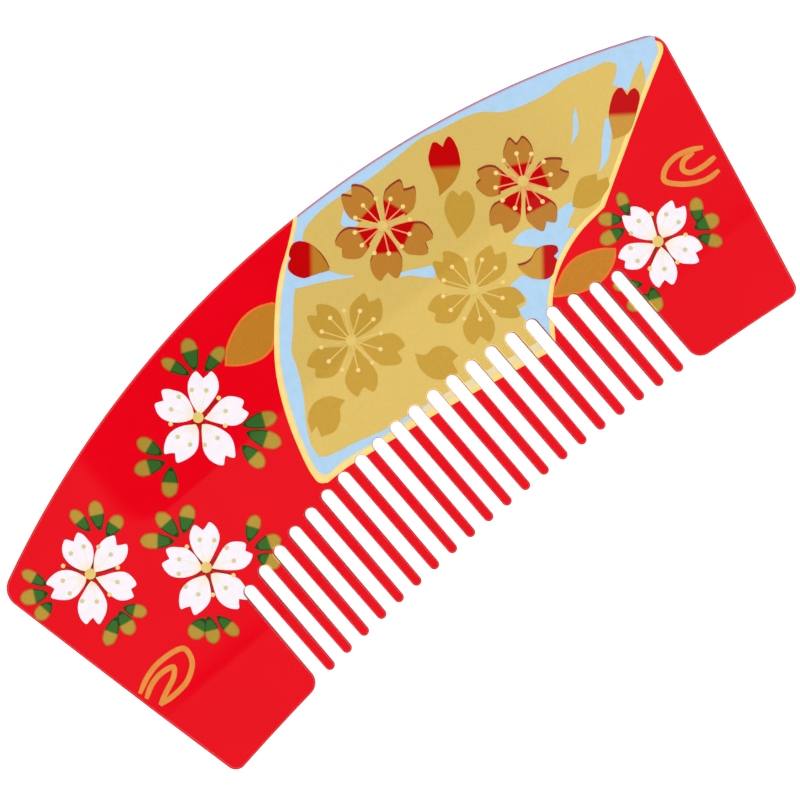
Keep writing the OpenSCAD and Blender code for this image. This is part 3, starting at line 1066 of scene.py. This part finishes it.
stamen_patches = []
for (centre, turn, size), (middle, reach) in zip(white_blossoms, white_rings):
    whole = blossom(centre, turn, size)
    threads, dots = stamens(np.array(middle), reach)
    loops = whole + threads + dots
    clear = lambda p: ~in_any(p, dots) & (np.linalg.norm(p - middle, axis=1) > disc_r)
    on_petal, off_petal = split_by(dots, whole)
    stamen_patches += [
        (film(loops, lambda p: in_any(p, threads) & in_any(p, whole) & clear(p), thread_layer),
         thread_on_white),
        (film(loops, lambda p: in_any(p, threads) & ~in_any(p, whole) & clear(p), thread_layer),
         thread_on_red),
        (filled(on_petal, dot_layer), dot_on_white),
        (filled(off_petal, dot_layer), dot_cream),
        (filled([dot(middle, disc_r)], dot_layer), disc_gold)]
for (middle, reach), (centre, turn, size) in zip(fan_rings, red_blossoms + gold_blossoms):
    whole = blossom(centre, turn, size, fan_slim)
    threads, dots = stamens(np.array(middle), reach)
    plain = threads
    if (centre, turn, size) in red_blossoms:
        on_red, plain = split_by(threads, whole)
        past = lambda p: out_along_petal(p, centre, turn) - gold_from
        stamen_patches.append((filled(on_red, thread_layer, mark=past), rose_to_pale))
    on_petal, off_petal = split_by(dots, whole)
    stamen_patches += [
        (filled(plain, thread_layer), thread_pale),
        (filled(on_petal, dot_layer), dot_cream),
        (filled(off_petal, dot_layer), dot_faint),
        (filled([dot(middle, disc_r)], dot_layer), thread_pale)]
print_piece("stamens", stamen_patches)

# Petals in gold line
# A loose petal drawn in two strokes of orange gold ink near each end of the comb.

stroke_w = 0.66
# A stroke starts at this share of its width, and would grow by this many over its whole length
stroke_end = 0.7
stroke_growth = 4
strokes = [
    smooth([(48.4, -2.5), (47.0, -1.75), (45.1, -1.2), (43.1, -1.5), (42.1, -2.5), (43.1, -3.95),
            (45.0, -5.35), (46.5, -5.9), (48.1, -5.95)]),
    smooth([(47.1, -2.2), (45.5, -2.2), (44.7, -3.0), (45.1, -3.8), (46.7, -4.3),
            (48.8, -4.35)]),
    smooth([(-48.6, -8.6), (-46.4, -7.6), (-43.9, -7.2), (-40.8, -7.9), (-41.1, -9.8),
            (-43.1, -11.2), (-45.6, -11.5), (-47.6, -11.3)]),
    smooth([(-48.4, -9.6), (-46.7, -8.7), (-44.9, -8.4), (-43.3, -8.8), (-44.0, -9.7),
            (-45.8, -10.5), (-47.6, -11.3)])]


def stroke(line):
    """The outline of a stroke, a little thinner at both ends."""
    part = np.linspace(0, 1, len(line))
    grown = stroke_end + stroke_growth * np.minimum(part, 1 - part)
    half = stroke_w / 2 * np.clip(grown, 0, 1)
    return np.vstack([beside(line, half), beside(line, -half)[::-1]])


line_orange, _ = finish_material("line_orange", (0.78, 0.3, 0.055), (0.7, 0.26, 0.045))
line_patches = []
for line in strokes:
    loop = stroke(line)
    line_patches.append((filled([loop], line_layer), line_orange))
print_piece("line_petals", line_patches)

# The studio
# The comb lies on a white light table, under a soft dome that is dim overhead and bright round
# the sides. A dark card behind the lens shows as a soft dark patch on the polished face, and a
# dim strip beside it as a band above the line where the teeth thin.

# The turn and the scale of the photo in millimetres a pixel, its width, and where it is centred
photo_turn = math.radians(40.54)
photo_scale = 0.12407
photo_px = 800
photo_middle = (-0.455, -1.9)
# The scale holds at this height over the table, and the lens is this far above it
focus_height = 3.5
lens_height = 800
nearest_seen = 10
sensor_w = 36
# The table is just clear of the comb's back
table_half = 3000
table_drop = 0.02
table_grey = 0.4
table_rough = 0.6
table_glow_on_comb = 0.1
# How bright the dome is at these heights, from level with the table at 0 to overhead at 1
dome_bands = ((0.35, 0.5), (0.45, 1.62), (0.84, 1.62), (0.9, 0.22))
black = (0.01, 0.01, 0.01)
card_height = 900
# Where the card's left side, its low side and its fade on the right, taken at this height, show on
# the face
card_left = -35.5
card_low = 6.5
card_fade = (30, 42)
fade_at = 10
# The card's round corner, and how far the card goes on
card_corner = (9, 40)
corner_step = 0.2
card_far = 250
# How much the dim strip covers, along it and across it
strip_xs = ((-110, 0), (-94, 1), (-72, 1), (-56, 0.35), (80, 0.35), (96, 0.6), (300, 0.6))
strip_ys = ((-400, 0), (-330, 0.85), (-270, 0.85), (-185, 0.5), (-110, 0))


def flat_mesh(name, loop, height):
    mesh = bpy.data.meshes.new(name)
    mesh.from_pydata([(x * mm, y * mm, height * mm) for x, y in loop], [],
                     [list(range(len(loop)))])
    return mesh


table_loop = [(x * table_half, y * table_half) for x, y in ((-1, -1), (1, -1), (1, 1), (-1, 1))]
table_mesh = flat_mesh("light_table", table_loop, -table_drop)
table_glow = bpy.data.materials.new("table_glow")
table_glow.use_nodes = True
nodes, links = table_glow.node_tree.nodes, table_glow.node_tree.links
glow = nodes["Principled BSDF"]
glow.inputs["Base Color"].default_value = (*[table_grey] * 3, 1)
glow.inputs["Roughness"].default_value = table_rough
glow.inputs["Emission Strength"].default_value = 1
seen = nodes.new("ShaderNodeLightPath")
shine = colour_mix(nodes, A=[table_glow_on_comb] * 3, B=(1, 1, 1))
links.new(seen.outputs["Is Camera Ray"], shine.inputs["Factor"])
links.new(shine.outputs["Result"], glow.inputs["Emission Color"])
table_mesh.materials.append(table_glow)
table = put_in_scene("light_table", table_mesh)

world = bpy.data.worlds.new("dome")
world.use_nodes = True
bpy.context.scene.world = world
nodes, links = world.node_tree.nodes, world.node_tree.links
way = nodes.new("ShaderNodeTexCoord")
parts = nodes.new("ShaderNodeSeparateXYZ")
links.new(way.outputs["Generated"], parts.inputs["Vector"])
dome = nodes.new("ShaderNodeValToRGB")
bands = dome.color_ramp.elements
bands.remove(bands[-1])
bands[0].position = dome_bands[0][0]
for spot, _ in dome_bands[1:]:
    bands.new(spot)
for band, (_, bright) in zip(bands, dome_bands):
    band.color = (bright, bright, bright, 1)
links.new(parts.outputs["Z"], dome.inputs["Fac"])
links.new(dome.outputs["Color"], nodes["Background"].inputs["Color"])

lens = np.array([*photo_middle, lens_height + focus_height])


def mirrored(x, y):
    """Where on the card the lens sees the card in the face at x, y."""
    place, normal = face_at(np.array([[x, y]]))
    way = (place[0] - lens) / np.linalg.norm(place[0] - lens)
    way = way - 2 * (way @ normal[0]) * normal[0]
    return (place[0] + way * (card_height - place[0][2]) / way[2])[:2]


left, low = mirrored(card_left, card_low)
right = mirrored(card_fade[1], card_low)[0]
corner = arc((0, 0), 1, -math.pi / 2, -math.pi, corner_step) * card_corner
corner += (left + card_corner[0], low + card_corner[1])
card_loop = [(right, card_far), (right, low), *corner, (left, card_far)]
card_mesh = flat_mesh("dark_card", card_loop, card_height)
card_black, _ = finish_material("card_black", black, black)
nodes, links = card_black.node_tree.nodes, card_black.node_tree.links
across = nodes.new("ShaderNodeTexCoord")
parts = nodes.new("ShaderNodeSeparateXYZ")
fade_xs = [mirrored(x, fade_at)[0] * mm for x in card_fade]
fade = soft_range(nodes, *fade_xs, before=1, after=0)
links.new(across.outputs["Object"], parts.inputs["Vector"])
links.new(parts.outputs["X"], fade.inputs["Value"])
links.new(fade.outputs["Result"], nodes["Principled BSDF"].inputs["Alpha"])
card_mesh.materials.append(card_black)
card = put_in_scene("dark_card", card_mesh)

strip_mesh = bpy.data.meshes.new("dim_strip")
count = len(strip_xs)
strip_mesh.from_pydata(
    [(x * mm, y * mm, card_height * mm) for y, _ in strip_ys for x, _ in strip_xs], [],
    [(i, i + 1, i + 1 + count, i + count) for i in range(count * (len(strip_ys) - 1))
     if (i + 1) % count])
strip_mesh.attributes.new("cover", "FLOAT", "POINT").data.foreach_set(
    "value", [a * b for _, b in strip_ys for _, a in strip_xs])
strip_black, _ = finish_material("strip_black", black, black)
nodes, links = strip_black.node_tree.nodes, strip_black.node_tree.links
cover = nodes.new("ShaderNodeAttribute")
cover.attribute_name = "cover"
links.new(cover.outputs["Fac"], nodes["Principled BSDF"].inputs["Alpha"])
strip_mesh.materials.append(strip_black)
strip = put_in_scene("dim_strip", strip_mesh)

camera_data = bpy.data.cameras.new("photo_camera")
camera_data.sensor_width = sensor_w
camera_data.lens = sensor_w * lens_height / (photo_scale * photo_px)
camera_data.clip_start = nearest_seen * mm
camera = put_in_scene("photo_camera", camera_data)
camera.location = lens * mm
camera.rotation_euler = (0, 0, -photo_turn)
bpy.context.scene.camera = camera
bpy.context.scene.view_settings.view_transform = "Standard"
